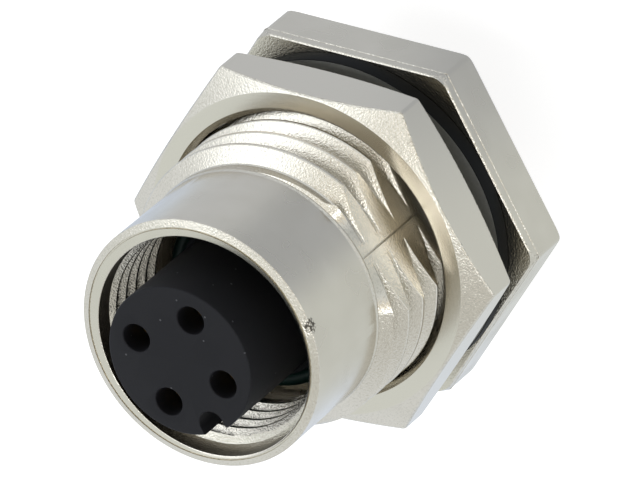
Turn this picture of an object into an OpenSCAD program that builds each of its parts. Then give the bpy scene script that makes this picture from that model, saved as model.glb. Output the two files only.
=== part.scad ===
// Panel-mount circular connector: an M16 body with a hexagonal flange, lock nut and gasket,
// and an M12 socket with four contacts, keyed and sealed.
// Millimetres. +Z is the mating direction, and z = 0 is the flange face that carries the gasket.
// Radii build outwards from the socket's thread, so that a change to one wall carries the rest with it.

/* [Mating collar] */
// Major diameter of the inner thread that the plug screws into
socket_thread_d = 12; // [10.5:0.25:13.5]
// Pitch of the inner thread
socket_pitch = 1; // [0.75:0.25:1.25]
// Thickness of the collar outside the thread's major diameter
collar_wall = 1.06; // [0.9:0.02:1.6]
// Length of the collar in front of the barrel
collar_len = 6.3; // [5:0.1:9]
// Radial width of the bevel round the rim
rim_bevel_w = 0.36; // [0.1:0.02:0.4]
// Height of the bevel round the rim
rim_bevel_h = 0.2; // [0.1:0.05:0.6]
// Radial width of the mouth's chamfer outside the thread's major diameter
mouth_chamfer_w = 0.38; // [0.1:0.02:0.45]
// Depth of the socket, from the rim to its floor
socket_depth = 6.9; // [5.5:0.1:8]

/* [Panel barrel] */
// Height of the outer thread's crest above the collar
thread_stand = 0.94; // [0.8:0.02:1.4]
// Pitch of the outer thread
thread_pitch = 1.5; // [1:0.25:1.5]
// Height of the thread's first groove above the flange, on the +X side
thread_start = 1.84; // [1.5:0.01:2.5]
// Length of the threaded barrel in front of the flange
thread_len = 9.85; // [8.5:0.05:14]
// Depth below the crest of the two flats that stop the barrel turning in its panel
flat_depth = 0.95; // [0.2:0.05:1.1]

/* [Flange] */
// Width of the flange and lock nut outside the thread's crest, at their flats
spanner_rim = 1.5; // [1.25:0.25:4]
// Thickness of the flange
flange_t = 3; // [2.5:0.25:5]
// Depth turned off each of the flange's six corners
flange_corner_cut = 0.1; // [0.05:0.05:0.3]
// Radial width of the chamfers at the flange's corners
flange_chamfer_w = 0.77; // [0.4:0.01:1.5]
// Depth of the front chamfer at a corner
flange_front_drop = 0.5; // [0.1:0.05:0.8]
// Depth of the rear chamfer at a corner
flange_rear_drop = 0.3; // [0.1:0.05:0.8]

/* [Rear bore] */
// Thickness of the web between the socket and the rear bore
web_t = 1.8; // [1.2:0.1:3]
// Thickness of the shell between the flats and the rear bore
barrel_wall = 0.95; // [0.6:0.05:1.3]
// Width of the rib that stops the insert turning
rib_w = 1.2; // [0.8:0.1:2]
// Height of that rib above the bore's wall
rib_h = 0.7; // [0.4:0.05:0.9]
// Length of the rib inside the insert
rib_reach = 1.6; // [1:0.1:2]
// Distance from the flange's rear face to the start of the rib
rib_inset = 0.8; // [0.5:0.1:1]

/* [Contact insert] */
// Radial room round the insert for the plug's sleeve
plug_room = 1.189; // [1.05:0.01:1.4]
// Height of the insert's face above the rim
insert_proud = 2.1; // [0:0.05:4]
// Chamfer round the insert's face
insert_chamfer = 0.15; // [0.05:0.05:0.4]
// Height of the insert's neck, which carries the face seal, above the socket's floor
neck_h = 1.1; // [1:0.05:2]
// Length of the insert's body in the rear bore
insert_body_len = 4.8; // [4.2:0.1:6]
// Width of the key notch
key_w = 1.5; // [1:0.05:1.8]
// Depth of the key notch at its round bottom
key_depth = 1.27; // [1:0.05:1.6]
// Distance from the side of the insert to the circle that the contacts stand on
contact_inset = 1.59; // [1.4:0.01:1.7]
// Chamfer at the mouth of each pin hole
pin_hole_chamfer = 0.1; // [0.05:0.05:0.2]

/* [Contacts] */
// Diameter of the bore that takes the plug's pin
pin_bore_d = 1.06; // [0.9:0.01:1.2]
// Depth of the pin bore
pin_bore_depth = 6; // [5.25:0.25:8]
// Thickness of the spring tines
tine_wall = 0.19; // [0.15:0.01:0.25]
// Width of the slots that split the tines
slot_w = 0.2; // [0.1:0.05:0.3]
// Length of those slots
slot_len = 4.6; // [2:0.1:5.2]
// Distance from the insert's face to the tips of the tines
contact_recess = 1.6; // [0.5:0.05:2]
// Radial width of the shoulder that holds the contact, outside its pin hole
shoulder_w = 0.35; // [0.25:0.05:0.5]
// Thickness of the shoulder
shoulder_t = 1.2; // [0.8:0.1:1.6]
// Diameter of the bore that takes the wire
cup_bore_d = 1.2; // [0.8:0.05:1.35]
// Thickness of the solder cup's wall
cup_wall = 0.25; // [0.2:0.01:0.3]
// Depth of the wire bore
cup_depth = 3.4; // [2.5:0.1:3.8]
// Length of cup that is cut open on its outer side
scoop_len = 1.4; // [0.5:0.1:2]
// Length of tail behind the rear holder
tail_out = 4.2; // [3.7:0.1:6]

/* [Rear holder] */
// Distance that the holder stands out behind the flange
holder_out = 1.5; // [0.5:0.1:3]
// Chamfer round the holder's rear face
holder_chamfer = 0.4; // [0.1:0.1:0.8]
// Distance from the flange's rear face to the snap ridge
snap_inset = 1.4; // [1:0.1:1.8]
// Width of the snap ridge
snap_w = 0.6; // [0.4:0.1:1]
// Height of the snap ridge above the bore's wall
snap_h = 0.12; // [0.05:0.01:0.2]

/* [Seals] */
// Thickness of the panel gasket
gasket_t = 1; // [0.8:0.1:1.6]
// Distance from the flange's flats to the edge of the gasket
gasket_inset = 0.1; // [0:0.05:0.4]
// Radial width of the ring-shaped seat for the face seal
face_seal_w = 0.859; // [0.7:0.01:0.95]
// Depth of the insert's O-ring groove
groove_depth = 1; // [0.8:0.05:1.15]
// Width of that groove
groove_w = 1.3; // [1.15:0.05:1.6]
// Distance from the web to the groove
groove_inset = 0.9; // [0.6:0.05:1.2]

/* [Lock nut] */
// Thickness of the nut
nut_t = 3; // [2:0.25:3.75]
// Gap between the gasket and the nut where the nut stands at rest
nut_gap = 1.05; // [0.25:0.05:2]
// Depth turned off each of the nut's six corners
nut_corner_cut = 0.08; // [0.05:0.01:0.3]
// Radial width of the chamfers at the nut's corners
nut_chamfer_w = 1.54; // [0.8:0.01:1.9]
// Depth of the front chamfer at a corner
nut_front_drop = 0.73; // [0.2:0.01:0.85]
// Depth of the rear chamfer at a corner
nut_rear_drop = 0.5; // [0.2:0.05:0.8]
// Radial width of the countersink at each end of the nut's thread
countersink_w = 0.37; // [0.2:0.01:0.5]

/* [Fits] */
// Radial clearance of the nut on the barrel
nut_clearance = 0.05; // [0.02:0.01:0.1]
// Radial clearance of the gasket on the barrel
gasket_clearance = 0.1; // [0.05:0.05:0.2]
// Radial clearance of moulded pieces in the shell
moulding_clearance = 0.04; // [0.02:0.01:0.08]
// Radial clearance round the tines, which lets them spread
tine_clearance = 0.08; // [0.05:0.01:0.12]
// Radial clearance round the contacts' shoulders and tails
contact_clearance = 0.05; // [0.02:0.01:0.08]
// Clearance round the rib in its slots
rib_clearance = 0.1; // [0.05:0.05:0.2]
// Radial clearance left each side of a seal ring
seal_clearance = 0.02; // [0.01:0.01:0.05]

/* [Hidden] */
$fn = 96;

// Heights that the pieces share
rim_z = thread_len + collar_len;
socket_floor_z = rim_z - socket_depth;
web_z = socket_floor_z - web_t;
insert_rear_z = web_z - insert_body_len;
insert_front_z = rim_z + insert_proud;
flange_rear_z = -flange_t;
holder_rear_z = flange_rear_z - holder_out;
nut_z = gasket_t + nut_gap;

// Radii, from the socket outwards and from its wall inwards; 0.5413 and 0.6134 are the ISO thread depths
socket_r = socket_thread_d / 2 - 0.5413 * socket_pitch;
mouth_r = socket_thread_d / 2 + mouth_chamfer_w;
collar_r = socket_thread_d / 2 + collar_wall;
thread_r = collar_r + thread_stand;
thread_root_r = max(thread_r - 0.6134 * thread_pitch, collar_r + 0.02);
flat_r = thread_r - flat_depth;
spanner_r = thread_r + spanner_rim;
rear_bore_r = flat_r - barrel_wall;
insert_r = socket_r - plug_room;
contact_circle_r = insert_r - contact_inset;
neck_r = socket_r - face_seal_w;
insert_body_r = rear_bore_r - moulding_clearance;
groove_r = insert_body_r - groove_depth;
gasket_r = spanner_r - gasket_inset;
nut_bore_r = thread_r + nut_clearance;
pin_bore_r = pin_bore_d / 2;
tine_r = pin_bore_r + tine_wall;
pin_hole_r = tine_r + tine_clearance;
shoulder_r = pin_hole_r + shoulder_w;
cup_bore_r = cup_bore_d / 2;
tail_r = cup_bore_r + cup_wall;

snap_room = 0.08;
contact_turn = 45;
key_turn = 180;
overcut = 1;

nickel = [0.78, 0.76, 0.73];
gold = [0.83, 0.66, 0.30];
dark_plastic = [0.16, 0.17, 0.19];
black_rubber = [0.09, 0.09, 0.10];
green_rubber = [0.05, 0.30, 0.24];

// A solid of revolution from its half section of [radius, height] points
module turned(half_section) {
    rotate_extrude() polygon(half_section);
}

// A hexagonal block with a corner on +X, its corners turned off, and down to a cone at each face
module turned_hexagon(t, corner_cut, chamfer_w, rear_drop, front_drop) {
    sharp_r = spanner_r / cos(30);
    corner_r = sharp_r - corner_cut;
    face_r = corner_r - chamfer_w;
    intersection() {
        cylinder(r = sharp_r, h = t, $fn = 6);
        rotate(20) turned([[0, 0], [face_r, 0], [corner_r, rear_drop],
                           [corner_r, t - front_drop], [face_r, t], [0, t]]);
    }
}

// A ring of round section lying flat, with its lowest point at height z
module round_ring(inner_r, outer_r, z) {
    section_r = (outer_r - inner_r) / 2 - seal_clearance;
    translate([0, 0, z + section_r]) rotate_extrude()
        translate([(inner_r + outer_r) / 2, 0]) circle(r = section_r);
}

// Places its children on each contact's axis
module at_contacts() {
    for (i = [1 : 4]) at_contact(i) children();
}

module at_contact(i) {
    rotate(contact_turn + 90 * (i - 1)) translate([contact_circle_r, 0, 0]) children();
}

// The outer thread's grooves on the side towards +X, the first at height first_z. The flats part the
// thread, so each groove is half a ring, tilted to follow the thread's lead.
module thread_grooves(first_z) {
    lead_tilt = atan(thread_pitch * asin(flat_r / thread_r) / 360 / flat_r);
    mouth_w = thread_pitch * 7 / 8;
    root_w = mouth_w - 2 * (thread_r - thread_root_r) * tan(30);
    over = 0.1;
    over_w = mouth_w + 2 * over * tan(30);
    for (i = [0 : floor((thread_len - first_z) / thread_pitch)])
        translate([0, 0, first_z + thread_pitch * i]) rotate([lead_tilt, 0, 0]) rotate(-90)
            rotate_extrude(angle = 180)
                polygon([[thread_root_r, -root_w / 2], [thread_r + over, -over_w / 2],
                         [thread_r + over, over_w / 2], [thread_root_r, root_w / 2]]);
}

// The barrel and collar, before the bores
module shell_outside() {
    chamfer_len = (thread_r - thread_root_r) * 0.7;
    difference() {
        turned([[0, flange_rear_z / 2], [thread_r, flange_rear_z / 2], [thread_r, thread_len - chamfer_len],
                [collar_r, thread_len], [collar_r, rim_z - rim_bevel_h],
                [collar_r - rim_bevel_w, rim_z], [0, rim_z]]);
        for (side = [0, 180]) rotate(side) {
            translate([-2 * thread_r, flat_r, 0]) cube([4 * thread_r, 2 * thread_r, thread_len]);
            thread_grooves(thread_start - thread_pitch * side / 360);
        }
    }
}

// The room inside the shell, from the rear face to the mouth
module shell_room() {
    lead = 0.3;
    chamfer_z = rim_z - (mouth_r - socket_r);
    web_bore_r = neck_r + moulding_clearance;
    groove_wall_r = rear_bore_r + snap_h + snap_room;
    snap_z = flange_rear_z + snap_inset;
    turned([[0, flange_rear_z - overcut], [rear_bore_r + lead, flange_rear_z - overcut],
            [rear_bore_r + lead, flange_rear_z], [rear_bore_r, flange_rear_z + lead],
            [rear_bore_r, snap_z - snap_room], [groove_wall_r, snap_z - snap_room],
            [groove_wall_r, snap_z + snap_w + snap_room], [rear_bore_r, snap_z + snap_w + snap_room],
            [rear_bore_r, web_z], [web_bore_r, web_z], [web_bore_r, socket_floor_z],
            [socket_r, socket_floor_z], [socket_r, chamfer_z], [mouth_r, rim_z],
            [mouth_r, rim_z + overcut], [0, rim_z + overcut]]);
}

// The rib in the rear bore, and with room round it the slot that it takes in the insert and holder
module rib(room = 0) {
    foot = 0.4;
    rib_z = flange_rear_z + rib_inset;
    translate([rear_bore_r - rib_h - room, -rib_w / 2 - room, rib_z - room])
        cube([rib_h + foot + room, rib_w + 2 * room, insert_rear_z + rib_reach - rib_z + 2 * room]);
}

module shell() {
    color(nickel) {
        difference() {
            union() {
                translate([0, 0, flange_rear_z])
                    turned_hexagon(flange_t, flange_corner_cut, flange_chamfer_w, flange_rear_drop,
                                   flange_front_drop);
                shell_outside();
            }
            shell_room();
        }
        rib();
    }
}

module hex_nut() {
    mouth = nut_bore_r + countersink_w;
    color(nickel) translate([0, 0, nut_z]) difference() {
        turned_hexagon(nut_t, nut_corner_cut, nut_chamfer_w, nut_rear_drop, nut_front_drop);
        turned([[0, -overcut], [mouth, -overcut], [mouth, 0], [nut_bore_r, countersink_w],
                [nut_bore_r, nut_t - countersink_w], [mouth, nut_t], [mouth, nut_t + overcut],
                [0, nut_t + overcut]]);
    }
}

module panel_gasket() {
    edge = 0.1;
    inner_r = thread_r + gasket_clearance;
    color(black_rubber)
        turned([[inner_r, 0], [gasket_r - edge, 0], [gasket_r, edge], [gasket_r, gasket_t - edge],
                [gasket_r - edge, gasket_t], [inner_r, gasket_t]]);
}

// The notch that keys the plug, with its round bottom
module key_notch() {
    notch_z = socket_floor_z + neck_h;
    notch_len = insert_front_z - notch_z + overcut;
    rotate(key_turn) translate([insert_r - key_depth + key_w / 2, 0, notch_z]) {
        cylinder(d = key_w, h = notch_len);
        translate([0, -key_w / 2, 0]) cube([insert_r, key_w, notch_len]);
    }
}

module contact_insert() {
    groove_z = web_z - groove_inset - groove_w;
    color(dark_plastic) difference() {
        turned([[0, insert_rear_z], [insert_body_r, insert_rear_z], [insert_body_r, groove_z],
                [groove_r, groove_z], [groove_r, groove_z + groove_w], [insert_body_r, groove_z + groove_w],
                [insert_body_r, web_z], [neck_r, web_z], [neck_r, socket_floor_z + neck_h],
                [insert_r, socket_floor_z + neck_h], [insert_r, insert_front_z - insert_chamfer],
                [insert_r - insert_chamfer, insert_front_z], [0, insert_front_z]]);
        key_notch();
        rib(rib_clearance);
        at_contacts() {
            translate([0, 0, insert_rear_z - overcut])
                cylinder(r = pin_hole_r, h = insert_front_z - insert_rear_z + 2 * overcut);
            translate([0, 0, insert_front_z - pin_hole_chamfer])
                cylinder(r1 = pin_hole_r, r2 = pin_hole_r + pin_hole_chamfer, h = pin_hole_chamfer);
            translate([0, 0, insert_rear_z - overcut])
                cylinder(r = shoulder_r + contact_clearance, h = shoulder_t + overcut);
        }
    }
}

module face_seal() {
    color(green_rubber) round_ring(neck_r, socket_r, socket_floor_z);
}

module insert_o_ring() {
    ring_h = rear_bore_r - groove_r - 2 * seal_clearance;
    color(black_rubber)
        round_ring(groove_r, rear_bore_r, web_z - groove_inset - (groove_w + ring_h) / 2);
}

module rear_holder() {
    ridge_r = rear_bore_r + snap_h;
    ridge_z = flange_rear_z + snap_inset;
    color(dark_plastic) difference() {
        turned([[0, holder_rear_z], [insert_body_r - holder_chamfer, holder_rear_z],
                [insert_body_r, holder_rear_z + holder_chamfer], [insert_body_r, ridge_z], [ridge_r, ridge_z],
                [insert_body_r, ridge_z + snap_w], [insert_body_r, insert_rear_z], [0, insert_rear_z]]);
        rib(rib_clearance);
        at_contacts() translate([0, 0, holder_rear_z - overcut])
            cylinder(r = tail_r + contact_clearance, h = insert_rear_z - holder_rear_z + 2 * overcut);
    }
}

// The slots that split the front of a contact into four tines
module tine_slots(tip_z) {
    for (turn = [0, 90]) rotate(turn)
        translate([-2 * tine_r, -slot_w / 2, tip_z - slot_len])
            cube([4 * tine_r, slot_w, slot_len + overcut]);
}

module socket_contact(i) {
    tip_z = insert_front_z - contact_recess;
    end_z = holder_rear_z - tail_out;
    shoulder_z = insert_rear_z + shoulder_t;
    tip_chamfer = 0.1;
    color(gold) at_contact(i) difference() {
        turned([[0, end_z], [tail_r, end_z], [tail_r, insert_rear_z], [shoulder_r, insert_rear_z],
                [shoulder_r, shoulder_z], [tine_r, shoulder_z], [tine_r, tip_z - tip_chamfer],
                [tine_r - tip_chamfer, tip_z], [0, tip_z]]);
        translate([0, 0, tip_z - pin_bore_depth]) cylinder(r = pin_bore_r, h = pin_bore_depth + overcut);
        tine_slots(tip_z);
        translate([0, 0, end_z - overcut]) cylinder(r = cup_bore_r, h = cup_depth + overcut);
        translate([0, -2 * tail_r, end_z - overcut]) cube([2 * tail_r, 4 * tail_r, scoop_len + overcut]);
    }
}

shell();
hex_nut();
panel_gasket();
contact_insert();
face_seal();
insert_o_ring();
rear_holder();
socket_contact(1);  // socket_contact_1
socket_contact(2);  // socket_contact_2
socket_contact(3);  // socket_contact_3
socket_contact(4);  // socket_contact_4
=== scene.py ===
import math
import bpy
from mathutils import Matrix, Vector


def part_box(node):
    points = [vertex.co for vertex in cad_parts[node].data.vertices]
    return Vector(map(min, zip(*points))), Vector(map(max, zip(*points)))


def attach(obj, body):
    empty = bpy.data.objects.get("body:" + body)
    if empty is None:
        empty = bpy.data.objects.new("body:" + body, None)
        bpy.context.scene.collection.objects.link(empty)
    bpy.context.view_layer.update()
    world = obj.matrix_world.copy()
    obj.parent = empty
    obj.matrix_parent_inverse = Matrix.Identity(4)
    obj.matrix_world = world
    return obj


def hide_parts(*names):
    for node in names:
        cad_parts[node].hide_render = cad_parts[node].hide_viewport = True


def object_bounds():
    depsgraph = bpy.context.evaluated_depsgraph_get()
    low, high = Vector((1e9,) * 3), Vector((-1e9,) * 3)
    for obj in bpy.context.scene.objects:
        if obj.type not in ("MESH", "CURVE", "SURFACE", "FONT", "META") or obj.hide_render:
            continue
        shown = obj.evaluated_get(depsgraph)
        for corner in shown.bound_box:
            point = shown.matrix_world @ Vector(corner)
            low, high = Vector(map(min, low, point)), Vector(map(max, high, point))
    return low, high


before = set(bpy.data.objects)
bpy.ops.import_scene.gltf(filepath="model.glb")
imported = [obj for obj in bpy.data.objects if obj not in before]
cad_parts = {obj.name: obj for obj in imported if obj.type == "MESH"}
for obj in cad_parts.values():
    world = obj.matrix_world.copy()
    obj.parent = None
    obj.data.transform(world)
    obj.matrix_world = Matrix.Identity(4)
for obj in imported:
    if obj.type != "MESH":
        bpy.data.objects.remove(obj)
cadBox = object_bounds()

mm = 0.001
scene = bpy.context.scene
shellLow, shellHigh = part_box("shell")
nutLow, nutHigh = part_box("hex_nut")
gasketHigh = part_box("panel_gasket")[1]
insertLow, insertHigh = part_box("contact_insert")
holderLow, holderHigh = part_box("rear_holder")
flangeRear = shellLow.z / mm
rimZ = shellHigh.z / mm
print("frame loaded, shell from", round(flangeRear, 2), "to", round(rimZ, 2), "mm")


def hexToLinear(code):
    # sRGB hex to the linear colour that shaders want
    parts = [int(code[i:i + 2], 16) / 255 for i in (1, 3, 5)]
    linear = [p / 12.92 if p <= 0.04045 else ((p + 0.055) / 1.055) ** 2.4 for p in parts]
    return (*linear, 1.0)


def addNode(tree, kind, inputs=None, **settings):
    # one node, its settings, and its inputs as values or links
    node = tree.nodes.new(kind)
    for name, value in settings.items():
        setattr(node, name, value)
    for key, value in (inputs or {}).items():
        if isinstance(value, bpy.types.NodeSocket):
            tree.links.new(value, node.inputs[key])
        else:
            node.inputs[key].default_value = value
    return node


def newMaterial(name):
    # an empty material with its output node
    material = bpy.data.materials.new(name)
    material.use_nodes = True
    material.node_tree.nodes.clear()
    return material, material.node_tree, material.node_tree.nodes.new("ShaderNodeOutputMaterial")


def finishMesh(piece, sharpAngle):
    # smooth faces that stay flat right up to their rounded edges
    mesh = piece.data
    mesh.polygons.foreach_set("use_smooth", [True] * len(mesh.polygons))
    mesh.set_sharp_from_angle(angle=math.radians(sharpAngle))
    flatten = piece.modifiers.new("flatten", "WEIGHTED_NORMAL")
    flatten.keep_sharp = True
    return bakeModifiers(piece)


def bakeModifiers(piece):
    # the evaluated shape becomes the mesh, and the modifiers go
    graph = bpy.context.evaluated_depsgraph_get()
    mesh = bpy.data.meshes.new_from_object(piece.evaluated_get(graph))
    piece.modifiers.clear()
    piece.data = mesh
    return piece


def newObject(name, verts, faces):
    mesh = bpy.data.meshes.new(name)
    mesh.from_pydata(verts, [], faces)
    piece = bpy.data.objects.new(name, mesh)
    scene.collection.objects.link(piece)
    return piece


def evenAngles(steps):
    return [2 * math.pi * i / steps for i in range(steps)]


def hexAngles():
    # angles round a hexagon, close together at its corners
    near = [0, 0.15, 0.3, 0.45, 0.6, 0.75, 0.9, 1.1, 1.4, 1.8]
    sector, clear, count = 60, 2.5, 73
    middle = [clear + (sector - 2 * clear) * i / count for i in range(count + 1)]
    side = near + middle + [sector - n for n in reversed(near[1:])]
    return [math.radians(sector * k + a) for k in range(6) for a in side]


def ringSolid(name, sectionAt, materials, angles, sharpAngle=38):
    # a closed ring. sectionAt(angle) gives its closed section there, anticlockwise, as [radius, height] in mm,
    # with a third value for the material of the strip that starts at that point
    rows = sectionAt(0.0)
    count, steps = len(rows), len(angles)
    verts, faces = [], []
    for angle in angles:
        for point in sectionAt(angle):
            verts.append((point[0] * math.cos(angle) * mm, point[0] * math.sin(angle) * mm, point[1] * mm))
    for i in range(steps):
        a, b = i * count, (i + 1) % steps * count
        for j in range(count):
            k = (j + 1) % count
            faces.append((a + j, b + j, b + k, a + k))
    piece = newObject(name, verts, faces)
    strips = [row[2] if len(row) > 2 else 0 for row in rows]
    for material in materials:
        piece.data.materials.append(material)
    piece.data.polygons.foreach_set("material_index", strips * steps)
    return finishMesh(piece, sharpAngle)


def lathe(section, steps=192):
    # verts and faces of a solid of revolution whose section starts and ends on the axis
    verts = [(0, 0, section[0][1] * mm), (0, 0, section[-1][1] * mm)]
    faces = []
    rows = len(section) - 2
    for i in range(steps):
        angle = 2 * math.pi * i / steps
        for r, z in section[1:-1]:
            verts.append((r * math.cos(angle) * mm, r * math.sin(angle) * mm, z * mm))
    for i in range(steps):
        a, b = 2 + i * rows, 2 + (i + 1) % steps * rows
        faces.append((0, b, a))
        for j in range(rows - 1):
            faces.append((a + j, b + j, b + j + 1, a + j + 1))
        faces.append((a + rows - 1, b + rows - 1, 1))
    return verts, faces


def roundedCorner(before, corner, after, radius):
    # points that round a corner of a section, and take up less than half of either side
    p, c, n = Vector(before), Vector(corner), Vector(after)
    toP, toN = (p - c).normalized(), (n - c).normalized()
    half, share, steps = toP.angle(toN) / 2, 0.48, 3
    reach = min(radius / math.tan(half), (p - c).length * share, (n - c).length * share)
    start, end = c + toP * reach, c + toN * reach
    points = []
    for i in range(steps + 1):
        t = i / steps
        points.append(tuple((1 - t) ** 2 * start + 2 * t * (1 - t) * c + t * t * end))
    return points


def hexRadius(angle, flats, corner):
    # distance from the axis to the side of a hexagon with rounded corners, one corner on +X
    off = abs((angle + math.pi / 6) % (math.pi / 3) - math.pi / 6)
    half = flats / 2
    centre = (half - corner) / math.cos(math.pi / 6)
    join = math.atan2(corner / 2, centre + corner * math.cos(math.pi / 6))
    if off < join:
        return centre * math.cos(off) + math.sqrt(corner ** 2 - (centre * math.sin(off)) ** 2)
    return half / math.cos(math.pi / 6 - off)


def platedCasting(name, grain, depth, roughness, specks=0.0, colours=("#d6d0c3", "#ccc6b8")):
    # Nickel over die-cast zinc: a bright, slightly warm metal that keeps the die's skin under the plating, nearly
    # smooth where the die was polished and pebbled where it wasn't, so that the pebbles glint. Dark specks lie
    # between the pebbles. Three knocks show as rough dark spots: on the rim, on a corner of the flange and on the
    # thread, each with its radius, turn and height and its own size.
    look = {"pit": 0.5, "pitFloor": 0.02, "pitEdge": 0.12, "pitDepth": 0.3, "cloud": 2.4, "duller": 0.04,
            "brighter": 0.03, "speck": 0.09, "speckColour": "#5c5749", "chip": 0.15, "chipDepth": 0.06,
            "chipColour": "#57524a", "knockCore": 0.4,
            "knocks": [(7.08, -97.5, 15.9, 0.6), (10.72, -121, -0.62, 0.13), (7.6, -58, 8.16, 0.09)]}
    material, tree, out = newMaterial(name)
    place = addNode(tree, "ShaderNodeTexCoord").outputs["Object"]
    skin = addNode(tree, "ShaderNodeTexNoise", {"Vector": place, "Scale": 1 / (grain * mm), "Detail": 2.5,
                                                "Roughness": 0.55})
    pits = addNode(tree, "ShaderNodeTexVoronoi", {"Vector": place, "Scale": 1 / (look["pit"] * mm)})
    pit = addNode(tree, "ShaderNodeMapRange", {"Value": pits.outputs["Distance"], "From Min": look["pitFloor"],
                                               "From Max": look["pitEdge"], "To Min": -look["pitDepth"],
                                               "To Max": 0.0})
    clouds = addNode(tree, "ShaderNodeTexNoise", {"Vector": place, "Scale": 1 / (look["cloud"] * mm),
                                                  "Detail": 2.0})
    plate = addNode(tree, "ShaderNodeMix", {"Factor": clouds.outputs["Fac"], "A": hexToLinear(colours[0]),
                                            "B": hexToLinear(colours[1])}, data_type="RGBA")
    fine = addNode(tree, "ShaderNodeTexNoise", {"Vector": place, "Scale": 1 / (look["speck"] * mm),
                                                "Detail": 1.0})
    speck = addNode(tree, "ShaderNodeMapRange", {"Value": fine.outputs["Fac"], "From Min": 0.5, "From Max": 0.72,
                                                 "To Max": specks})
    metal = addNode(tree, "ShaderNodeMix", {"Factor": speck.outputs["Result"], "A": plate.outputs["Result"],
                                            "B": hexToLinear(look["speckColour"])}, data_type="RGBA")
    rough = addNode(tree, "ShaderNodeMapRange", {"Value": clouds.outputs["Fac"], "From Min": 0.3, "From Max": 0.7,
                                                 "To Min": roughness - look["brighter"],
                                                 "To Max": roughness + look["duller"]})
    knocked = 0.0
    for radius, turn, height, size in look["knocks"]:
        spot = (radius * mm * math.cos(math.radians(turn)), radius * mm * math.sin(math.radians(turn)), height * mm)
        away = addNode(tree, "ShaderNodeVectorMath", {0: place, 1: spot}, operation="DISTANCE")
        near = addNode(tree, "ShaderNodeMapRange", {"Value": away.outputs["Value"], "From Min": size * mm,
                                                    "From Max": size * look["knockCore"] * mm})
        knocked = addNode(tree, "ShaderNodeMath", {0: near.outputs["Result"], 1: knocked},
                          operation="MAXIMUM").outputs[0]
    chips = addNode(tree, "ShaderNodeTexVoronoi", {"Vector": place, "Scale": 1 / (look["chip"] * mm)})
    chip = addNode(tree, "ShaderNodeMath", {0: chips.outputs["Distance"], 1: knocked}, operation="MULTIPLY")
    dark = addNode(tree, "ShaderNodeMapRange", {"Value": chip.outputs[0], "From Min": 0.3, "From Max": 0.6})
    tone = addNode(tree, "ShaderNodeMix", {"Factor": dark.outputs["Result"], "A": metal.outputs["Result"],
                                           "B": hexToLinear(look["chipColour"])}, data_type="RGBA")
    height = addNode(tree, "ShaderNodeMath", {0: skin.outputs["Fac"], 1: pit.outputs["Result"]}, operation="ADD")
    bump = addNode(tree, "ShaderNodeBump", {"Height": height.outputs[0], "Distance": depth * mm})
    chipped = addNode(tree, "ShaderNodeBump", {"Height": chip.outputs[0], "Distance": -look["chipDepth"] * mm,
                                               "Normal": bump.outputs["Normal"]})
    shader = addNode(tree, "ShaderNodeBsdfPrincipled", {"Base Color": tone.outputs["Result"], "Metallic": 1.0,
                                                        "Roughness": rough.outputs["Result"],
                                                        "Normal": chipped.outputs["Normal"]})
    tree.links.new(shader.outputs[0], out.inputs["Surface"])
    return material


def turnedNickel():
    # Nickel over turned brass: the same metal, with the fine rings that a lathe tool leaves
    look = {"colour": "#d4cec1", "roughness": 0.24, "ring": 0.06, "grain": 0.1, "depth": 0.0015}
    material, tree, out = newMaterial("turnedNickel")
    place = addNode(tree, "ShaderNodeTexCoord").outputs["Object"]
    flat = addNode(tree, "ShaderNodeVectorMath", {0: place, 1: (1.0, 1.0, 0.0)}, operation="MULTIPLY")
    radius = addNode(tree, "ShaderNodeVectorMath", {0: flat.outputs[0]}, operation="LENGTH")
    ringAt = addNode(tree, "ShaderNodeCombineXYZ", {"X": radius.outputs["Value"]})
    rings = addNode(tree, "ShaderNodeTexNoise", {"Vector": ringAt.outputs[0], "Scale": 1 / (look["ring"] * mm),
                                                 "Detail": 2.0})
    grain = addNode(tree, "ShaderNodeTexNoise", {"Vector": place, "Scale": 1 / (look["grain"] * mm),
                                                 "Detail": 3.0, "Roughness": 0.6})
    height = addNode(tree, "ShaderNodeMath", {0: rings.outputs["Fac"], 1: grain.outputs["Fac"]}, operation="ADD")
    bump = addNode(tree, "ShaderNodeBump", {"Height": height.outputs[0], "Distance": look["depth"] * mm})
    shader = addNode(tree, "ShaderNodeBsdfPrincipled", {"Base Color": hexToLinear(look["colour"]), "Metallic": 1.0,
                                                        "Roughness": look["roughness"],
                                                        "Normal": bump.outputs["Normal"]})
    tree.links.new(shader.outputs[0], out.inputs["Surface"])
    return material


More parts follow.
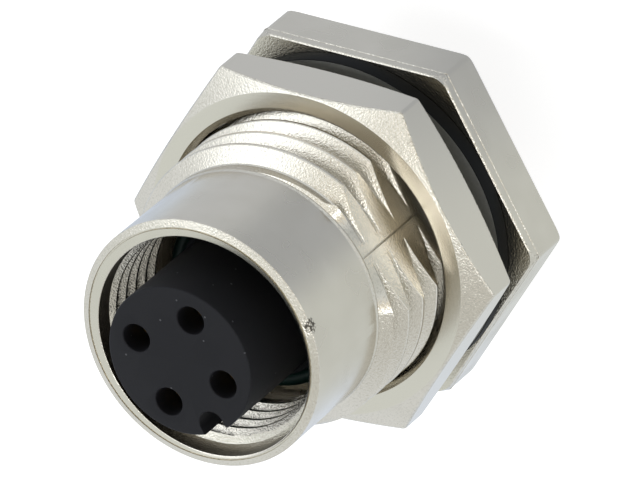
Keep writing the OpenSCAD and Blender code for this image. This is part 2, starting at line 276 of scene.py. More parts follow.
def mouldedNylon(name="mouldedNylon", colour="#18181b", dust=0.35):
    # Glass-filled nylon from a spark-eroded mould: dark charcoal, matt, with a fine grain and a few motes of dust
    look = {"grain": 0.12, "depth": 0.006, "roughness": 0.62, "sheen": 0.22, "mote": 0.9, "moteEdge": 0.075,
            "moteCore": 0.05, "dust": "#8d8e92"}
    material, tree, out = newMaterial(name)
    place = addNode(tree, "ShaderNodeTexCoord").outputs["Object"]
    grain = addNode(tree, "ShaderNodeTexNoise", {"Vector": place, "Scale": 1 / (look["grain"] * mm),
                                                 "Detail": 4.0, "Roughness": 0.65})
    bump = addNode(tree, "ShaderNodeBump", {"Height": grain.outputs["Fac"], "Distance": look["depth"] * mm})
    motes = addNode(tree, "ShaderNodeTexVoronoi", {"Vector": place, "Scale": 1 / (look["mote"] * mm)})
    mote = addNode(tree, "ShaderNodeMapRange", {"Value": motes.outputs["Distance"], "From Min": look["moteEdge"],
                                                "From Max": look["moteCore"], "To Max": dust})
    tone = addNode(tree, "ShaderNodeMix", {"Factor": mote.outputs["Result"], "A": hexToLinear(colour),
                                           "B": hexToLinear(look["dust"])}, data_type="RGBA")
    shader = addNode(tree, "ShaderNodeBsdfPrincipled", {"Base Color": tone.outputs["Result"],
                                                        "Roughness": look["roughness"], "IOR": 1.53,
                                                        "Specular IOR Level": look["sheen"],
                                                        "Normal": bump.outputs["Normal"]})
    tree.links.new(shader.outputs[0], out.inputs["Surface"])
    return material


def mouldedRubber(name, colours, roughness=0.55, sheen=0.5):
    # Moulded rubber: even colour with a low, soft gloss and a faint mould grain
    look = {"grain": 0.15, "depth": 0.004}
    material, tree, out = newMaterial(name)
    place = addNode(tree, "ShaderNodeTexCoord").outputs["Object"]
    grain = addNode(tree, "ShaderNodeTexNoise", {"Vector": place, "Scale": 1 / (look["grain"] * mm),
                                                 "Detail": 3.0})
    shade = addNode(tree, "ShaderNodeMix", {"Factor": grain.outputs["Fac"], "A": hexToLinear(colours[0]),
                                            "B": hexToLinear(colours[1])}, data_type="RGBA")
    bump = addNode(tree, "ShaderNodeBump", {"Height": grain.outputs["Fac"], "Distance": look["depth"] * mm})
    shader = addNode(tree, "ShaderNodeBsdfPrincipled", {"Base Color": shade.outputs["Result"],
                                                        "Roughness": roughness, "IOR": 1.52,
                                                        "Specular IOR Level": sheen,
                                                        "Normal": bump.outputs["Normal"]})
    tree.links.new(shader.outputs[0], out.inputs["Surface"])
    return material


def goldPlating():
    # Gold flash over turned brass: warm yellow metal, nearly polished, with faint turning
    look = {"colour": "#e2b765", "roughness": 0.2, "duller": 0.1, "turning": 0.04, "depth": 0.001}
    material, tree, out = newMaterial("goldPlating")
    place = addNode(tree, "ShaderNodeTexCoord").outputs["Object"]
    along = addNode(tree, "ShaderNodeSeparateXYZ", {0: place})
    height = addNode(tree, "ShaderNodeCombineXYZ", {"Z": along.outputs["Z"]})
    turning = addNode(tree, "ShaderNodeTexNoise", {"Vector": height.outputs[0],
                                                   "Scale": 1 / (look["turning"] * mm), "Detail": 1.0})
    bump = addNode(tree, "ShaderNodeBump", {"Height": turning.outputs["Fac"], "Distance": look["depth"] * mm})
    rough = addNode(tree, "ShaderNodeMapRange", {"Value": turning.outputs["Fac"], "To Min": look["roughness"],
                                                 "To Max": look["roughness"] + look["duller"]})
    shader = addNode(tree, "ShaderNodeBsdfPrincipled", {"Base Color": hexToLinear(look["colour"]),
                                                        "Metallic": 1.0, "Roughness": rough.outputs["Result"],
                                                        "Normal": bump.outputs["Normal"]})
    tree.links.new(shader.outputs[0], out.inputs["Surface"])
    return material


satinCasting = platedCasting("satinCasting", 0.16, 0.003, 0.25)
pebbledCasting = platedCasting("pebbledCasting", 0.11, 0.026, 0.22, 0.16)
edgeCasting = platedCasting("edgeCasting", 0.12, 0.055, 0.14, 0.3)
# The mouth's metal: the same rough die skin, coloured dark brown and thickly specked to paint the shade and dark
# reflections inside the socket's mouth
roughShadedCasting = platedCasting("roughShadedCasting", 0.1, 0.05, 0.34, 0.7, ("#8d8576", "#5f584c"))
nutMetal = turnedNickel()
insertNylon = mouldedNylon()
holderNylon = mouldedNylon("holderNylon", "#1f1f22", dust=0.0)
# The panel gasket's rubber as a shaded and a lit copy: the sides near-black, darker than the rubber to paint their
# shade, and the front face light grey, painted light where the nut shades it
shadedSideRubber = mouldedRubber("shadedNitrileRubber", ("#0e0f0e", "#0a0b0a"), 0.6, 0.12)
litFaceRubber = mouldedRubber("litFaceRubber", ("#a2a39e", "#939490"), 0.75, 0.3)
ringRubber = mouldedRubber("ringRubber", ("#232324", "#1b1b1c"))
# The face seal's green rubber, darkened to a deep teal that paints the shade of the gap round the insert where it
# sits
shadedSealRubber = mouldedRubber("shadedFluorocarbonRubber", ("#06251f", "#051f1a"), 0.5)
contactGold = goldPlating()
print("materials made")


def helicalThread():
    # Geometry Nodes: a ring whose wall carries a 60 degree screw thread, cut by flats and by a chamfer at each end.
    # A grid is wrapped round the axis. Ten rows make one turn of the section, and three more close the back wall.
    tree = bpy.data.node_groups.new("helicalThread", "GeometryNodeTree")
    tree.is_modifier = True
    numbers = {"Root Radius": 7.07, "Thread Depth": 0.93, "Pitch": 1.5, "Start Height": 0.0, "Bottom": 0.0,
               "Top": 9.85, "Back Radius": 6.9, "Crest Width": 0.19, "Edge Round": 0.04, "Root Round": 0.05,
               "Flat Radius": 100.0, "Seam Stand": 0.0, "Top Slope": 1.6, "Bottom Slope": 4.0}
    for name, number in numbers.items():
        tree.interface.new_socket(name, in_out="INPUT", socket_type="NodeSocketFloat").default_value = number
    for name, number in (("Turns", 9), ("Steps", 480)):
        tree.interface.new_socket(name, in_out="INPUT", socket_type="NodeSocketInt").default_value = number
    tree.interface.new_socket("Inward", in_out="INPUT", socket_type="NodeSocketBool")
    tree.interface.new_socket("Material", in_out="INPUT", socket_type="NodeSocketMaterial")
    tree.interface.new_socket("Geometry", in_out="OUTPUT", socket_type="NodeSocketGeometry")
    given = tree.nodes.new("NodeGroupInput").outputs
    result = tree.nodes.new("NodeGroupOutput").inputs

    # shares of the thread's depth at the fillet and at the flank's top, and the seam's half width as a sine
    form = {"filletShare": 0.06, "flankShare": 0.9, "seamWidth": 0.006}
    rowsPerTurn, mergeDistance = 10, 0.003 * mm
    rowCount = addNode(tree, "ShaderNodeMath", {0: given["Turns"], 1: rowsPerTurn, 2: 3},
                       operation="MULTIPLY_ADD").outputs[0]
    aroundCount = addNode(tree, "ShaderNodeMath", {0: given["Steps"], 1: 1}, operation="ADD").outputs[0]
    grid = addNode(tree, "GeometryNodeMeshGrid", {"Vertices X": aroundCount, "Vertices Y": rowCount})
    spot = addNode(tree, "ShaderNodeSeparateXYZ", {0: tree.nodes.new("GeometryNodeInputPosition").outputs[0]})

    # each line is a name, a sum and its terms, which are numbers, inputs or earlier names
    sums = [
        ("around", "ADD", "spotX", 0.5),
        ("angle", "MULTIPLY", "around", 2 * math.pi),
        ("sine", "SINE", "angle"),
        ("cosine", "COSINE", "angle"),
        ("lastRow", "SUBTRACT", "rowCount", 1),
        ("along", "ADD", "spotY", 0.5),
        ("rowPlace", "MULTIPLY", "along", "lastRow"),
        ("row", "ROUND", "rowPlace"),
        # where the row lies in its turn: 0 root, 1 fillet, 2 top of the flank, 3 rounded edge, 4 crest
        ("threadRow", "SUBTRACT", "row", 1),
        ("turns", "DIVIDE", "threadRow", rowsPerTurn),
        ("turn", "FLOOR", "turns"),
        ("turnStart", "MULTIPLY", "turn", rowsPerTurn),
        ("within", "SUBTRACT", "threadRow", "turnStart"),
        ("fromCrest", "SUBTRACT", "within", (rowsPerTurn - 1) / 2),
        ("side", "SIGN", "fromCrest"),
        ("offCrest", "ABSOLUTE", "fromCrest"),
        ("kind", "SUBTRACT", (rowsPerTurn - 1) / 2, "offCrest"),
        ("isRoot", "COMPARE", "kind", 0, 0.1),
        ("isFillet", "COMPARE", "kind", 1, 0.1),
        ("isFlank", "COMPARE", "kind", 2, 0.1),
        ("isEdge", "COMPARE", "kind", 3, 0.1),
        ("isCrest", "COMPARE", "kind", 4, 0.1),
        # the flats leave the thread only as high as they stand at this angle
        ("acrossFlat", "ABSOLUTE", "sine"),
        ("steep", "MAXIMUM", "acrossFlat", 0.01),
        ("flatReach", "DIVIDE", "Flat Radius", "steep"),
        ("room", "SUBTRACT", "flatReach", "Root Radius"),
        ("lowCrest", "MINIMUM", "Thread Depth", "room"),
        ("crest", "MAXIMUM", "lowCrest", 0),
        ("shareTop", "ADD", "isEdge", "isCrest"),
        ("shareFlank", "MULTIPLY_ADD", "isFlank", "flankShare", "shareTop"),
        ("share", "MULTIPLY_ADD", "isFillet", "filletShare", "shareFlank"),
        ("reached", "MULTIPLY", "crest", "share"),
        ("dip", "MULTIPLY", "isEdge", "Edge Round"),
        ("dipped", "SUBTRACT", "reached", "dip"),
        ("height", "MAXIMUM", "dipped", 0),
        # half the ridge's width at that height
        ("below", "SUBTRACT", "Thread Depth", "height"),
        ("flank", "MULTIPLY", "below", math.tan(math.radians(30))),
        ("easeRoot", "MULTIPLY", "isRoot", "Root Round"),
        ("easeEdge", "MULTIPLY", "isCrest", "Edge Round"),
        ("ease", "MULTIPLY_ADD", "easeEdge", -0.7, "easeRoot"),
        ("eased", "ADD", "flank", "ease"),
        ("halfWidth", "MULTIPLY_ADD", "Crest Width", 0.5, "eased"),
        ("gone", "ADD", "around", "turn"),
        ("centre", "MULTIPLY_ADD", "gone", "Pitch", "Start Height"),
        ("freeZ", "MULTIPLY_ADD", "side", "halfWidth", "centre"),
        ("lowZ", "MINIMUM", "freeZ", "Top"),
        ("z", "MAXIMUM", "lowZ", "Bottom"),
        # the ends are chamfered
        ("toTop", "SUBTRACT", "Top", "z"),
        ("topRoom", "MULTIPLY", "toTop", "Top Slope"),
        ("toBottom", "SUBTRACT", "z", "Bottom"),
        ("bottomRoom", "MULTIPLY", "toBottom", "Bottom Slope"),
        ("endRoom", "MINIMUM", "topRoom", "bottomRoom"),
        ("ended", "MINIMUM", "height", "endRoom"),
        ("standing", "MAXIMUM", "ended", 0),
        ("flattened", "MINIMUM", "standing", "room"),
        # the mould's seam stands along the middle of each flat
        ("offFlat", "ABSOLUTE", "cosine"),
        ("offSeam", "DIVIDE", "offFlat", "seamWidth"),
        ("nearSeam", "SUBTRACT", 1, "offSeam"),
        ("onSeam", "MAXIMUM", "nearSeam", 0),
        ("stand", "MULTIPLY_ADD", "onSeam", "Seam Stand", "flattened"),
        ("outward", "MULTIPLY_ADD", "Inward", -2, 1),
        ("wall", "MULTIPLY_ADD", "stand", "outward", "Root Radius"),
        # rows before the first and after the last turn lie on the back wall
        ("isFirst", "LESS_THAN", "row", 0.5),
        ("beforeLast", "SUBTRACT", "rowCount", 2.5),
        ("isLast", "GREATER_THAN", "row", "beforeLast"),
        ("beforeEnd", "SUBTRACT", "rowCount", 1.5),
        ("isEnd", "GREATER_THAN", "row", "beforeEnd"),
        ("onBack", "MAXIMUM", "isFirst", "isLast"),
        ("atTop", "SUBTRACT", "isLast", "isEnd"),
        ("length", "SUBTRACT", "Top", "Bottom"),
        ("backZ", "MULTIPLY_ADD", "atTop", "length", "Bottom"),
        ("offWall", "SUBTRACT", "Back Radius", "wall"),
        ("reach", "MULTIPLY_ADD", "onBack", "offWall", "wall"),
        ("offZ", "SUBTRACT", "backZ", "z"),
        ("rise", "MULTIPLY_ADD", "onBack", "offZ", "z"),
        ("radius", "MULTIPLY", "reach", mm),
        ("pointX", "MULTIPLY", "radius", "cosine"),
        ("pointY", "MULTIPLY", "radius", "sine"),
        ("pointZ", "MULTIPLY", "rise", mm),
    ]
    value = {"spotX": spot.outputs["X"], "spotY": spot.outputs["Y"], "rowCount": rowCount, **form}
    for name in (*numbers, "Inward"):
        value[name] = given[name]
    for name, operation, *terms in sums:
        inputs = {i: value.get(term, term) for i, term in enumerate(terms)}
        value[name] = addNode(tree, "ShaderNodeMath", inputs, operation=operation, label=name).outputs[0]

    point = addNode(tree, "ShaderNodeCombineXYZ", {"X": value["pointX"], "Y": value["pointY"],
                                                   "Z": value["pointZ"]})
    wrapped = addNode(tree, "GeometryNodeSetPosition", {"Geometry": grid.outputs["Mesh"],
                                                        "Position": point.outputs[0]})
    flipped = addNode(tree, "GeometryNodeFlipFaces", {"Mesh": wrapped.outputs[0], "Selection": given["Inward"]})
    joined = addNode(tree, "GeometryNodeMergeByDistance", {"Geometry": flipped.outputs[0],
                                                            "Distance": mergeDistance})
    real = addNode(tree, "GeometryNodeRealizeInstances", {"Geometry": joined.outputs[0]})
    finished = addNode(tree, "GeometryNodeSetMaterial", {"Geometry": real.outputs[0],
                                                         "Material": given["Material"]})
    tree.links.new(finished.outputs[0], result["Geometry"])
    return tree


def setInputs(modifier, values):
    # a modifier's inputs go by the socket's identifier
    for item in modifier.node_group.interface.items_tree:
        if item.in_out == "INPUT" and item.name in values:
            modifier[item.identifier] = values[item.name]


def threadedRing(name, values, material):
    # a ring of its own mesh with a helical thread on its wall
    piece = bpy.data.objects.new(name, bpy.data.meshes.new(name))
    scene.collection.objects.link(piece)
    modifier = piece.modifiers.new("thread", "NODES")
    modifier.node_group = threadTree
    setInputs(modifier, {**values, "Material": material})
    bakeModifiers(piece)
    return finishMesh(piece, sharpAngle=12)


threadTree = helicalThread()
print("thread generator made")


# In mm. The profiles are steps outward and up from the radius and the height that each shapes, and the mouth's are
# shares of its round. The metals are the places in the piece's list of materials that each strip takes.
shell = {"flats": 19.0, "cornerRound": 0.35, "faceRadius": 10.7, "frontSlope": 2.4, "rearSlope": 0.39,
         "edgeRound": 0.1, "rearMetals": (1, 1, 2, 2, 0), "frontMetals": (2, 2, 1, 1, 1),
         "seamHeight": 0.5, "seamStand": 0.03, "seamRows": (-0.06, 0.01, 0.04, 0.07), "seamClear": 0.02,
         "barrelRadius": 7.0, "barrelFoot": 0.15, "barrelTop": 9.85, "threadEnd": 0.3,
         "beadRadius": 7.14, "beadProfile": ((-0.03, -0.12), (0.0, -0.05), (0.0, 0.02), (-0.03, 0.08)),
         "collarRadius": 7.07, "collarProfile": ((0.01, 0.14), (0.0, 0.2)),
         "rimRadius": 7.11, "rimProfile": ((0.0, -0.05, 0), (0.0, -0.02, 2), (-0.03, 0.015, 1)),
         "rimBevel": 0.41, "rimBevelHeight": 0.15,
         "lineWidth": 0.07, "lineDepth": 0.08, "lineLip": 0.02, "lipFall": 0.008,
         "mouthRadius": 6.36, "mouthOffset": 0.22, "mouthTurn": 208, "mouthFall": 0.03, "mouthRound": 0.05,
         "mouthProfile": ((0.7, 0.35), (1.0, 1.2)), "wallLean": 0.03, "threadMouth": 15.12,
         "stepTop": 0.02, "stepIn": 0.06, "stepFoot": 0.12, "boreRadius": 6.3, "socketFloor": 9.25,
         "webRadius": 4.64, "webRear": 7.45, "rearBore": 6.1, "rearLead": 0.3}
# A hexagon's edges: the least ledge outside its face, the lap that keeps the face flat, and the middle of each
# rounded edge as shares of its radius.
hexForm = {"ledge": 0.03, "lap": 0.02, "inset": 0.3, "rearRise": 0.3, "frontFall": 0.47}


def hexEdges(angle, size, low, high):
    # a hexagon's chamfered and rounded rear and front edges at this angle, each strip with its material
    edge = size["edgeRound"]
    side = hexRadius(angle, size["flats"], size["cornerRound"])
    reach, middle = side - edge, side - edge * hexForm["inset"]
    face = min(size["faceRadius"], reach - hexForm["ledge"])
    sideOver, reachOver = max(0.0, side - size["faceRadius"]), max(0.0, reach - size["faceRadius"])
    frontDrop, frontEdge = sideOver * size["frontSlope"], reachOver * size["frontSlope"]
    rearDrop, rearEdge = sideOver * size["rearSlope"], reachOver * size["rearSlope"]
    rear = [(face - hexForm["lap"], low), (face, low), (reach, low + rearEdge),
            (middle, low + (rearEdge + rearDrop) / 2 + edge * hexForm["rearRise"]),
            (side, low + rearDrop + edge)]
    front = [(side, high - frontDrop - edge),
             (middle, high - (frontEdge + frontDrop) / 2 - edge * hexForm["frontFall"]),
             (reach, high - frontEdge), (face, high), (face - hexForm["lap"], high)]
    return ([(*point, metal) for point, metal in zip(rear, size["rearMetals"])],
            [(*point, metal) for point, metal in zip(front, size["frontMetals"])])


def shellSection(angle):
    s = shell
    rear, front = hexEdges(angle, s, flangeRear, 0.0)
    side, frontLow = front[0][:2]
    top, bevelZ, mouthZ = s["barrelTop"], rimZ - s["rimBevelHeight"], rimZ - s["mouthFall"]
    lineOut, lineZ = s["rimRadius"] - s["rimBevel"], rimZ - s["lineDepth"]
    lineIn = lineOut - s["lineWidth"]
    # the mouth was opened a little off the axis
    off = angle - math.radians(s["mouthTurn"])
    mouth = s["mouthRadius"] + s["mouthOffset"] * math.cos(off)
    wall = mouth - s["mouthRound"] - s["wallLean"]
    seamZ = -max(s["seamHeight"] + s["seamRows"][3], s["seamClear"] - frontLow)
    seam = [seamZ + rise for rise in s["seamRows"]]
    return [
        # rear face, out to the hexagon's side and past the flash line along it, then in to the barrel
        (s["rearBore"] + s["rearLead"], flangeRear), *rear,
        (side, seam[0]), (side, seam[1], 2), (side + s["seamStand"], seam[2], 2), (side, seam[3]), *front,
        (s["barrelRadius"] + s["barrelFoot"], 0.0), (s["barrelRadius"], 0.0),
        # up inside the outer thread, then the bead, the collar and the rim's bevel
        (s["barrelRadius"], top - s["threadEnd"], 1),
        *[(s["beadRadius"] + out, top + rise, 1) for out, rise in s["beadProfile"]],
        *[(s["collarRadius"] + out, top + rise) for out, rise in s["collarProfile"]],
        *[(s["rimRadius"] + out, bevelZ + rise, metal) for out, rise, metal in s["rimProfile"]],
        # rim, with a fine turned line round its flat
        (lineOut + s["lineLip"], rimZ - s["lipFall"], 1), (lineOut, lineZ, 1), (lineIn, lineZ, 1),
        (lineIn - s["lineLip"], rimZ), (mouth, mouthZ, 1),
        # mouth, its rough wall and the bore behind the inner thread, which take the dark brown metal that paints the
        # shade inside the mouth
        *[(mouth - s["mouthRound"] * share, mouthZ - s["mouthRound"] * fall, 3)
          for share, fall in s["mouthProfile"]],
        (wall, s["threadMouth"] - s["stepTop"]), (s["boreRadius"] - s["stepIn"], s["threadMouth"] - s["stepFoot"], 3),
        (s["boreRadius"], s["socketFloor"]),
        (s["webRadius"], s["socketFloor"]), (s["webRadius"], s["webRear"]), (s["rearBore"], s["webRear"]),
        (s["rearBore"], flangeRear + s["rearLead"]),
    ]


shellBody = ringSolid("shellBody", shellSection, [satinCasting, pebbledCasting, edgeCasting, roughShadedCasting],
                      hexAngles(), sharpAngle=14)
# The outer thread has a crest at this height on the +X side, and the nut's thread runs half a pitch from it.
screw = {"pitch": 1.5, "crestHeight": 5.59}
barrelThread = threadedRing("barrelThread", {
    "Root Radius": 7.07, "Thread Depth": 0.93, "Pitch": screw["pitch"],
    "Start Height": screw["crestHeight"] - screw["pitch"] * 5, "Bottom": -0.02, "Top": 9.86, "Back Radius": 6.85,
    "Crest Width": 0.19, "Edge Round": 0.045, "Root Round": 0.06, "Flat Radius": 7.05, "Seam Stand": 0.03,
    "Top Slope": 1.7, "Bottom Slope": 5.0, "Turns": 9, "Steps": 720}, pebbledCasting)
socketThread = threadedRing("socketThread", {
    "Root Radius": 6.25, "Thread Depth": 0.46, "Pitch": 1.0, "Start Height": 7.62, "Bottom": 10.1,
    "Top": 15.14, "Back Radius": 6.66, "Crest Width": 0.16, "Edge Round": 0.02, "Root Round": 0.02,
    "Top Slope": 3.0, "Bottom Slope": 3.0, "Turns": 9, "Steps": 480, "Inward": True}, pebbledCasting)
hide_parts("shell")
for piece in (shellBody, barrelThread, socketThread):
    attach(piece, "connector_body")
print("shell made")


lockNut = {"flats": 19.0, "cornerRound": 0.25, "faceRadius": 9.35, "frontSlope": 0.47, "rearSlope": 0.3,
           "edgeRound": 0.09, "rearMetals": (0, 1, 1, 1, 0), "frontMetals": (2, 2, 1, 0, 0),
           "mouthRadius": 8.42, "mouthLip": 0.03, "frontLip": 0.04, "sinkIn": 0.28, "sinkDepth": 0.32,
           "roomOut": 0.08, "roomDepth": 0.42, "threadRoot": 8.36, "threadInset": 0.3}
nutRear, nutFront = nutLow.z / mm, nutHigh.z / mm


def nutSection(angle):
    n = lockNut
    rear, front = hexEdges(angle, n, nutRear, nutFront)
    mouth, lip = n["mouthRadius"], n["mouthLip"]
    sunk, room = mouth - n["sinkIn"], mouth + n["roomOut"]
    # out round the hexagon, then in through the two countersinks and the room that the thread's ring fills
    return [(mouth + lip, nutRear), *rear, *front, (mouth + n["frontLip"], nutFront), (mouth, nutFront - lip),
            (sunk, nutFront - n["sinkDepth"]), (room, nutFront - n["roomDepth"]), (room, nutRear + n["roomDepth"]),
            (sunk, nutRear + n["sinkDepth"]), (mouth, nutRear + lip)]


nutBody = ringSolid("nutBody", nutSection, [nutMetal, pebbledCasting, edgeCasting], hexAngles(), sharpAngle=8)
nutThread = threadedRing("nutThread", {
    "Root Radius": lockNut["threadRoot"], "Thread Depth": 0.31, "Pitch": screw["pitch"],
    "Start Height": screw["crestHeight"] - screw["pitch"] / 2 - screw["pitch"] * 2,
    "Bottom": nutRear + lockNut["threadInset"], "Top": nutFront - lockNut["threadInset"], "Back Radius": 8.6,
    "Crest Width": 0.6, "Edge Round": 0.03, "Root Round": 0.02, "Top Slope": 1.5, "Bottom Slope": 1.5, "Turns": 4,
    "Steps": 360, "Inward": True}, nutMetal)
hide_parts("hex_nut")
for piece in (nutBody, nutThread):
    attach(piece, "lock_nut")
print("lock nut made")


gasket = {"inner": 8.1, "outer": gasketHigh.x / mm, "top": gasketHigh.z / mm - 0.01, "edgeRound": 0.08,
          "litFaceDepth": 0.01}
gasketBox = [(gasket["inner"], 0.0), (gasket["outer"], 0.0), (gasket["outer"], gasket["top"]),
             (gasket["inner"], gasket["top"])]
gasketSection = []
# strips on the front face take the light grey rubber that paints light there, the rest take the darkened rubber that
# paints shade
for i, corner in enumerate(gasketBox):
    for r, z in roundedCorner(gasketBox[i - 1], corner, gasketBox[(i + 1) % 4], gasket["edgeRound"]):
        gasketSection.append((r, z, 1 if z > gasket["top"] - gasket["litFaceDepth"] else 0))
panelGasket = ringSolid("panelGasket", lambda angle: gasketSection, [shadedSideRubber, litFaceRubber], evenAngles(240))
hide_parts("panel_gasket")
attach(panelGasket, "connector_body")

seal = {"section": 0.41, "facets": 20}
sealLow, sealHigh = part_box("face_seal")
sealRadius, sealZ = sealHigh.x / mm - seal["section"], (sealLow.z + sealHigh.z) / 2 / mm
sealSection = [(sealRadius + seal["section"] * math.cos(turn), sealZ + seal["section"] * math.sin(turn))
               for turn in evenAngles(seal["facets"])]
faceSeal = ringSolid("faceSeal", lambda angle: sealSection, [shadedSealRubber], evenAngles(160), sharpAngle=60)
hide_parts("face_seal")
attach(faceSeal, "connector_body")
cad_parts["insert_o_ring"].data.materials.clear()
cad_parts["insert_o_ring"].data.materials.append(ringRubber)
print("gasket and seals made")


insert = {"radius": 4.27, "neckRadius": 4.6, "neckTop": 10.35, "neckFall": 0.05, "bodyRadius": 6.06,
          "edgeRound": 0.12, "edgeProfile": ((0.02, 0.45), (0.06, 0.12)),
          "holeRadius": 0.8, "holeLip": 0.07, "lipOut": 0.3, "lipFall": 0.4, "circle": 2.68, "contactTurn": 45,
          "keyWidth": 1.5, "keyDepth": 1.27, "keyReach": 6.0, "keySteps": 24}
overcut = 0.5


def holeCutters(core):
    # the same hole core at each of the four contacts
    verts, faces = [], []
    points, coreFaces = lathe(core, steps=48)
    for i in range(4):
        turn = math.radians(insert["contactTurn"] + 90 * i)
        start = len(verts)
        verts += [(x + insert["circle"] * mm * math.cos(turn), y + insert["circle"] * mm * math.sin(turn), z)
                  for x, y, z in points]
        faces += [tuple(start + k for k in face) for face in coreFaces]
    return verts, faces


def keySlotCutter(bottom, top):
    # a prism with a round inner end, for the keyway down the side at 180 degrees
    half, reach, steps = insert["keyWidth"] / 2, insert["keyReach"], insert["keySteps"]
    centre = -(insert["radius"] - insert["keyDepth"] + half)
    arc = [math.radians(-90 + 180 * k / steps) for k in range(steps + 1)]
    outline = [(-reach, -half)] + [(centre + half * math.cos(a), half * math.sin(a)) for a in arc] + [(-reach, half)]
    count = len(outline)
    verts = [(x * mm, y * mm, z * mm) for z in (bottom, top) for x, y in outline]
    faces = [tuple(reversed(range(count))), tuple(range(count, 2 * count))]
    faces += [(k, (k + 1) % count, count + (k + 1) % count, count + k) for k in range(count)]
    return verts, faces


def cutPiece(name, section, cutters, material):
    # a lathe solid with cutters taken out of it
    piece = newObject(name, *lathe(section))
    piece.data.materials.append(material)
    tools = []
    for cutVerts, cutFaces in cutters:
        tool = newObject("cutter", cutVerts, cutFaces)
        cut = piece.modifiers.new("cut", "BOOLEAN")
        cut.operation, cut.solver, cut.object = "DIFFERENCE", "EXACT", tool
        tools.append(tool)
    bakeModifiers(piece)
    for tool in tools:
        bpy.data.objects.remove(tool)
    while len(piece.data.materials) > 1:
        piece.data.materials.pop()
    return finishMesh(piece, sharpAngle=20)


insertBottom, insertTop = insertLow.z / mm, insertHigh.z / mm
insertSection = [(0, insertBottom), (insert["bodyRadius"], insertBottom), (insert["bodyRadius"], shell["webRear"]),
                 (insert["neckRadius"], shell["webRear"]), (insert["neckRadius"], insert["neckTop"]),
                 (insert["radius"], insert["neckTop"] + insert["neckFall"]),
                 (insert["radius"], insertTop - insert["edgeRound"]),
                 *[(insert["radius"] - back, insertTop - insert["edgeRound"] * share)
                   for back, share in insert["edgeProfile"]],
                 (insert["radius"] - insert["edgeRound"], insertTop), (0, insertTop)]
hole, lip = insert["holeRadius"], insert["holeLip"]
pinCore = [(0, insertBottom - overcut), (hole, insertBottom - overcut), (hole, insertTop - lip),
           (hole + lip * insert["lipOut"], insertTop - lip * insert["lipFall"]), (hole + lip, insertTop),
           (hole + lip, insertTop + overcut), (0, insertTop + overcut)]
keySlot = keySlotCutter(insert["neckTop"], insertTop + 2 * overcut)
contactInsert = cutPiece("contactInsert", insertSection, [holeCutters(pinCore), keySlot], insertNylon)
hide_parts("contact_insert")
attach(contactInsert, "connector_body")

holder = {"radius": 6.06, "chamfer": 0.4, "edgeRound": 0.1, "holeRadius": 0.9, "holeFlare": 0.1,
          "flareDepth": 0.12}
holderBottom, holderTop = holderLow.z / mm, holderHigh.z / mm
holderProfile = [(0, holderBottom), (holder["radius"] - holder["chamfer"], holderBottom),
                 (holder["radius"], holderBottom + holder["chamfer"]), (holder["radius"], holderTop)]
holderSection = [holderProfile[0], *roundedCorner(*holderProfile[:3], holder["edgeRound"]),
                 *roundedCorner(*holderProfile[1:], holder["edgeRound"]), holderProfile[3], (0, holderTop)]
tail, flare = holder["holeRadius"], holder["holeRadius"] + holder["holeFlare"]
tailCore = [(0, holderBottom - overcut), (flare, holderBottom - overcut), (flare, holderBottom),
            (tail, holderBottom + holder["flareDepth"]), (tail, holderTop + overcut), (0, holderTop + overcut)]
rearHolder = cutPiece("rearHolder", holderSection, [holeCutters(tailCore)], holderNylon)
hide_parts("rear_holder")
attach(rearHolder, "connector_body")
print("insert and holder made")

for i in range(1, 5):
    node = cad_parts["socket_contact_%d" % i]
    node.data.materials.clear()
    node.data.materials.append(contactGold)
print("contacts finished")


# Panels of the light tent that metal mirrors: azimuth, elevation, half width and half softness in degrees,
# colour and level. Azimuth 0 stands on -Y and 90 on +X. The fill is what everything but metal gets from the tent.
stage = {"floorSize": 600, "floorGap": 0.02, "floorColour": "#cfcfcf", "floorGlow": 0.86,
         "floorTone": (0.84, 0.84, 0.8), "tentTone": (1, 1, 1), "tentFill": 0.14, "tint": (0.985, 1.04, 1.12),
         "tent": [("top", 0, 90, 34, 25, "#fffdf8", 1.15), ("side", 110, 50, 12, 13, "#ffffff", 2.6),
                  ("warm", 0, 48, 26, 16, "#fdf0da", 1.1), ("left", -87, 55, 20, 15, "#fffbf2", 0.75),
                  ("back", 197, 49, 24, 12, "#fbfcf6", 0.95), ("glint", -20, 60, 9, 6, "#ffffff", 5.0),
                  ("cameraBody", 17.5, 49.5, 6, 6, "#2a2722", 1.0)],
         "floorPanels": [("near", 38, 0, 20, 36, "#fbfcff", 0.60), ("right", 98, 0, 22, 24, "#fdfdff", 0.74),
                         ("back", 222, 0, 30, 30, "#f4f8ff", 0.98), ("blue", 150, 0, 14, 16, "#eef4ff", 0.9)],
         "lampDistance": 260, "lampSize": 200, "lamps": [("keySoftbox", 150, 62, 0.30),
                                                         ("fillSoftbox", -80, 50, 0.15)]}


def towards(azimuth, elevation):
    # the direction of a panel, a lamp or the camera from the connector, with the angles in degrees
    a, e = math.radians(azimuth), math.radians(elevation)
    return Vector((math.sin(a) * math.cos(e), -math.cos(a) * math.cos(e), math.sin(e)))


def paintPanels(tree, direction, colour, panels):
    # the colour that each direction from the connector shows, with soft panels laid one over another
    paint = [part * shift for part, shift in zip(colour, stage["tint"])] + [1.0]
    for name, azimuth, elevation, width, softness, shade, power in panels:
        near = addNode(tree, "ShaderNodeVectorMath", {0: direction, 1: towards(azimuth, elevation)},
                       operation="DOT_PRODUCT", label=name)
        fade = addNode(tree, "ShaderNodeMapRange", {"Value": near.outputs["Value"],
                                                    "From Min": math.cos(math.radians(width + softness)),
                                                    "From Max": math.cos(math.radians(max(width - softness, 0)))},
                       interpolation_type="SMOOTHSTEP")
        lit = [power * part * shift for part, shift in zip(hexToLinear(shade), stage["tint"])] + [1.0]
        paint = addNode(tree, "ShaderNodeMix", {"Factor": fade.outputs["Result"], "A": paint, "B": lit},
                        data_type="RGBA").outputs["Result"]
    return paint


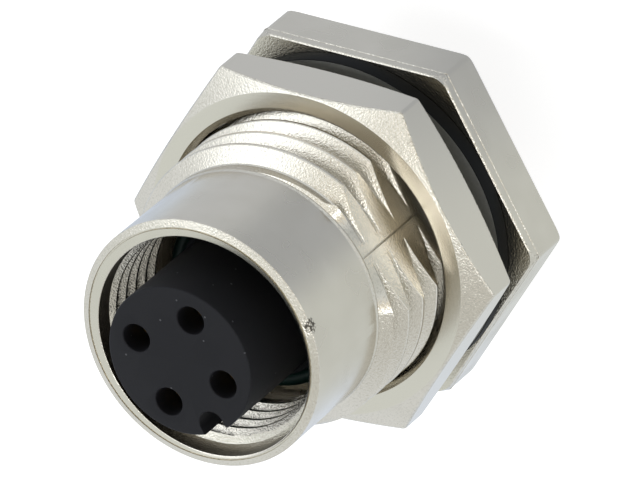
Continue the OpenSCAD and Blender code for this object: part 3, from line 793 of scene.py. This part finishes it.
def paleFloor():
    # matt paper that keeps the shadow, with its own white for the camera and the tent's tones for metal
    material, tree, out = newMaterial("paleFloor")
    rays = tree.nodes.new("ShaderNodeLightPath").outputs
    seen = addNode(tree, "ShaderNodeMath", {0: rays["Is Camera Ray"], 1: rays["Is Transmission Ray"]},
                   operation="ADD", use_clamp=True)
    glow = addNode(tree, "ShaderNodeMath", {0: seen.outputs[0], 1: stage["floorGlow"]}, operation="MULTIPLY")
    matt = addNode(tree, "ShaderNodeBsdfDiffuse", {"Color": hexToLinear(stage["floorColour"])})
    own = addNode(tree, "ShaderNodeEmission", {"Color": (1, 1, 1, 1), "Strength": glow.outputs[0]})
    paper = addNode(tree, "ShaderNodeAddShader", {0: matt.outputs[0], 1: own.outputs[0]})
    place = addNode(tree, "ShaderNodeTexCoord").outputs["Object"]
    flat = addNode(tree, "ShaderNodeVectorMath", {0: place, 1: (1, 1, 0)}, operation="MULTIPLY")
    outward = addNode(tree, "ShaderNodeVectorMath", {0: flat.outputs[0]}, operation="NORMALIZE")
    tones = paintPanels(tree, outward.outputs[0], stage["floorTone"], stage["floorPanels"])
    mirrored = addNode(tree, "ShaderNodeEmission", {"Color": tones, "Strength": 1.0})
    shown = addNode(tree, "ShaderNodeMixShader", {0: rays["Is Glossy Ray"], 1: paper.outputs[0],
                                                  2: mirrored.outputs[0]})
    # from below the paper isn't there
    behind = addNode(tree, "ShaderNodeNewGeometry").outputs["Backfacing"]
    clear = addNode(tree, "ShaderNodeBsdfTransparent")
    oneSided = addNode(tree, "ShaderNodeMixShader", {0: behind, 1: shown.outputs[0], 2: clear.outputs[0]})
    tree.links.new(oneSided.outputs[0], out.inputs["Surface"])
    return material


half = stage["floorSize"] / 2 * mm
floorZ = cadBox[0].z - stage["floorGap"] * mm
floor = newObject("floor", [(-half, -half, floorZ), (half, -half, floorZ), (half, half, floorZ),
                            (-half, half, floorZ)], [(0, 1, 2, 3)])
floor.data.materials.append(paleFloor())

world = bpy.data.worlds.new("lightTent")
scene.world = world
world.use_nodes = True
worldTree = world.node_tree
worldTree.nodes.clear()
worldOut = worldTree.nodes.new("ShaderNodeOutputWorld")
rays = worldTree.nodes.new("ShaderNodeLightPath").outputs
skyDirection = addNode(worldTree, "ShaderNodeTexCoord").outputs["Generated"]
tent = paintPanels(worldTree, skyDirection, stage["tentTone"], stage["tent"])
white = addNode(worldTree, "ShaderNodeBackground", {"Color": (1, 1, 1, 1), "Strength": 1.0})
fill = addNode(worldTree, "ShaderNodeBackground", {"Color": (1, 1, 1, 1), "Strength": stage["tentFill"]})
mirrored = addNode(worldTree, "ShaderNodeBackground", {"Color": tent, "Strength": 1.0})
seen = addNode(worldTree, "ShaderNodeMath", {0: rays["Is Camera Ray"], 1: rays["Is Transmission Ray"]},
               operation="ADD", use_clamp=True)
toEye = addNode(worldTree, "ShaderNodeMixShader", {0: seen.outputs[0], 1: fill.outputs[0], 2: white.outputs[0]})
toMetal = addNode(worldTree, "ShaderNodeMixShader", {0: rays["Is Glossy Ray"], 1: toEye.outputs[0],
                                                     2: mirrored.outputs[0]})
worldTree.links.new(toMetal.outputs[0], worldOut.inputs["Surface"])


for name, azimuth, elevation, power in stage["lamps"]:
    # softboxes aimed at the connector, which metal doesn't mirror
    place = towards(azimuth, elevation) * stage["lampDistance"] * mm
    lamp = bpy.data.lights.new(name, "AREA")
    lamp.shape = "SQUARE"
    lamp.size = stage["lampSize"] * mm
    lamp.energy = power
    item = bpy.data.objects.new(name, lamp)
    item.location = place
    item.rotation_mode = "QUATERNION"
    item.rotation_quaternion = place.to_track_quat("Z", "Y")
    item.visible_glossy = False
    scene.collection.objects.link(item)
print("stage and lamps set")


view = {"azimuth": 17.46, "elevation": 49.45, "roll": -130.36, "distance": 723.06, "lens": 773.5, "sensor": 36,
        "nearest": 50, "farthest": 5000, "aim": (0.457, -1.191, 4.911)}
back = towards(view["azimuth"], view["elevation"])
cameraData = bpy.data.cameras.new("camera")
cameraData.lens = view["lens"]
cameraData.sensor_width = view["sensor"]
cameraData.clip_start, cameraData.clip_end = view["nearest"] * mm, view["farthest"] * mm
camera = bpy.data.objects.new("camera", cameraData)
scene.collection.objects.link(camera)
turn = math.radians(view["azimuth"])
level = Vector((math.cos(turn), math.sin(turn), 0))
upright = back.cross(level)
roll = math.radians(view["roll"])
right = level * math.cos(roll) + upright * math.sin(roll)
up = back.cross(right)
camera.matrix_world = Matrix.Translation((Vector(view["aim"]) + back * view["distance"]) * mm) @ Matrix(
    (right, up, back)).transposed().to_4x4()
scene.camera = camera
scene.view_settings.view_transform = "Standard"
print("camera set")
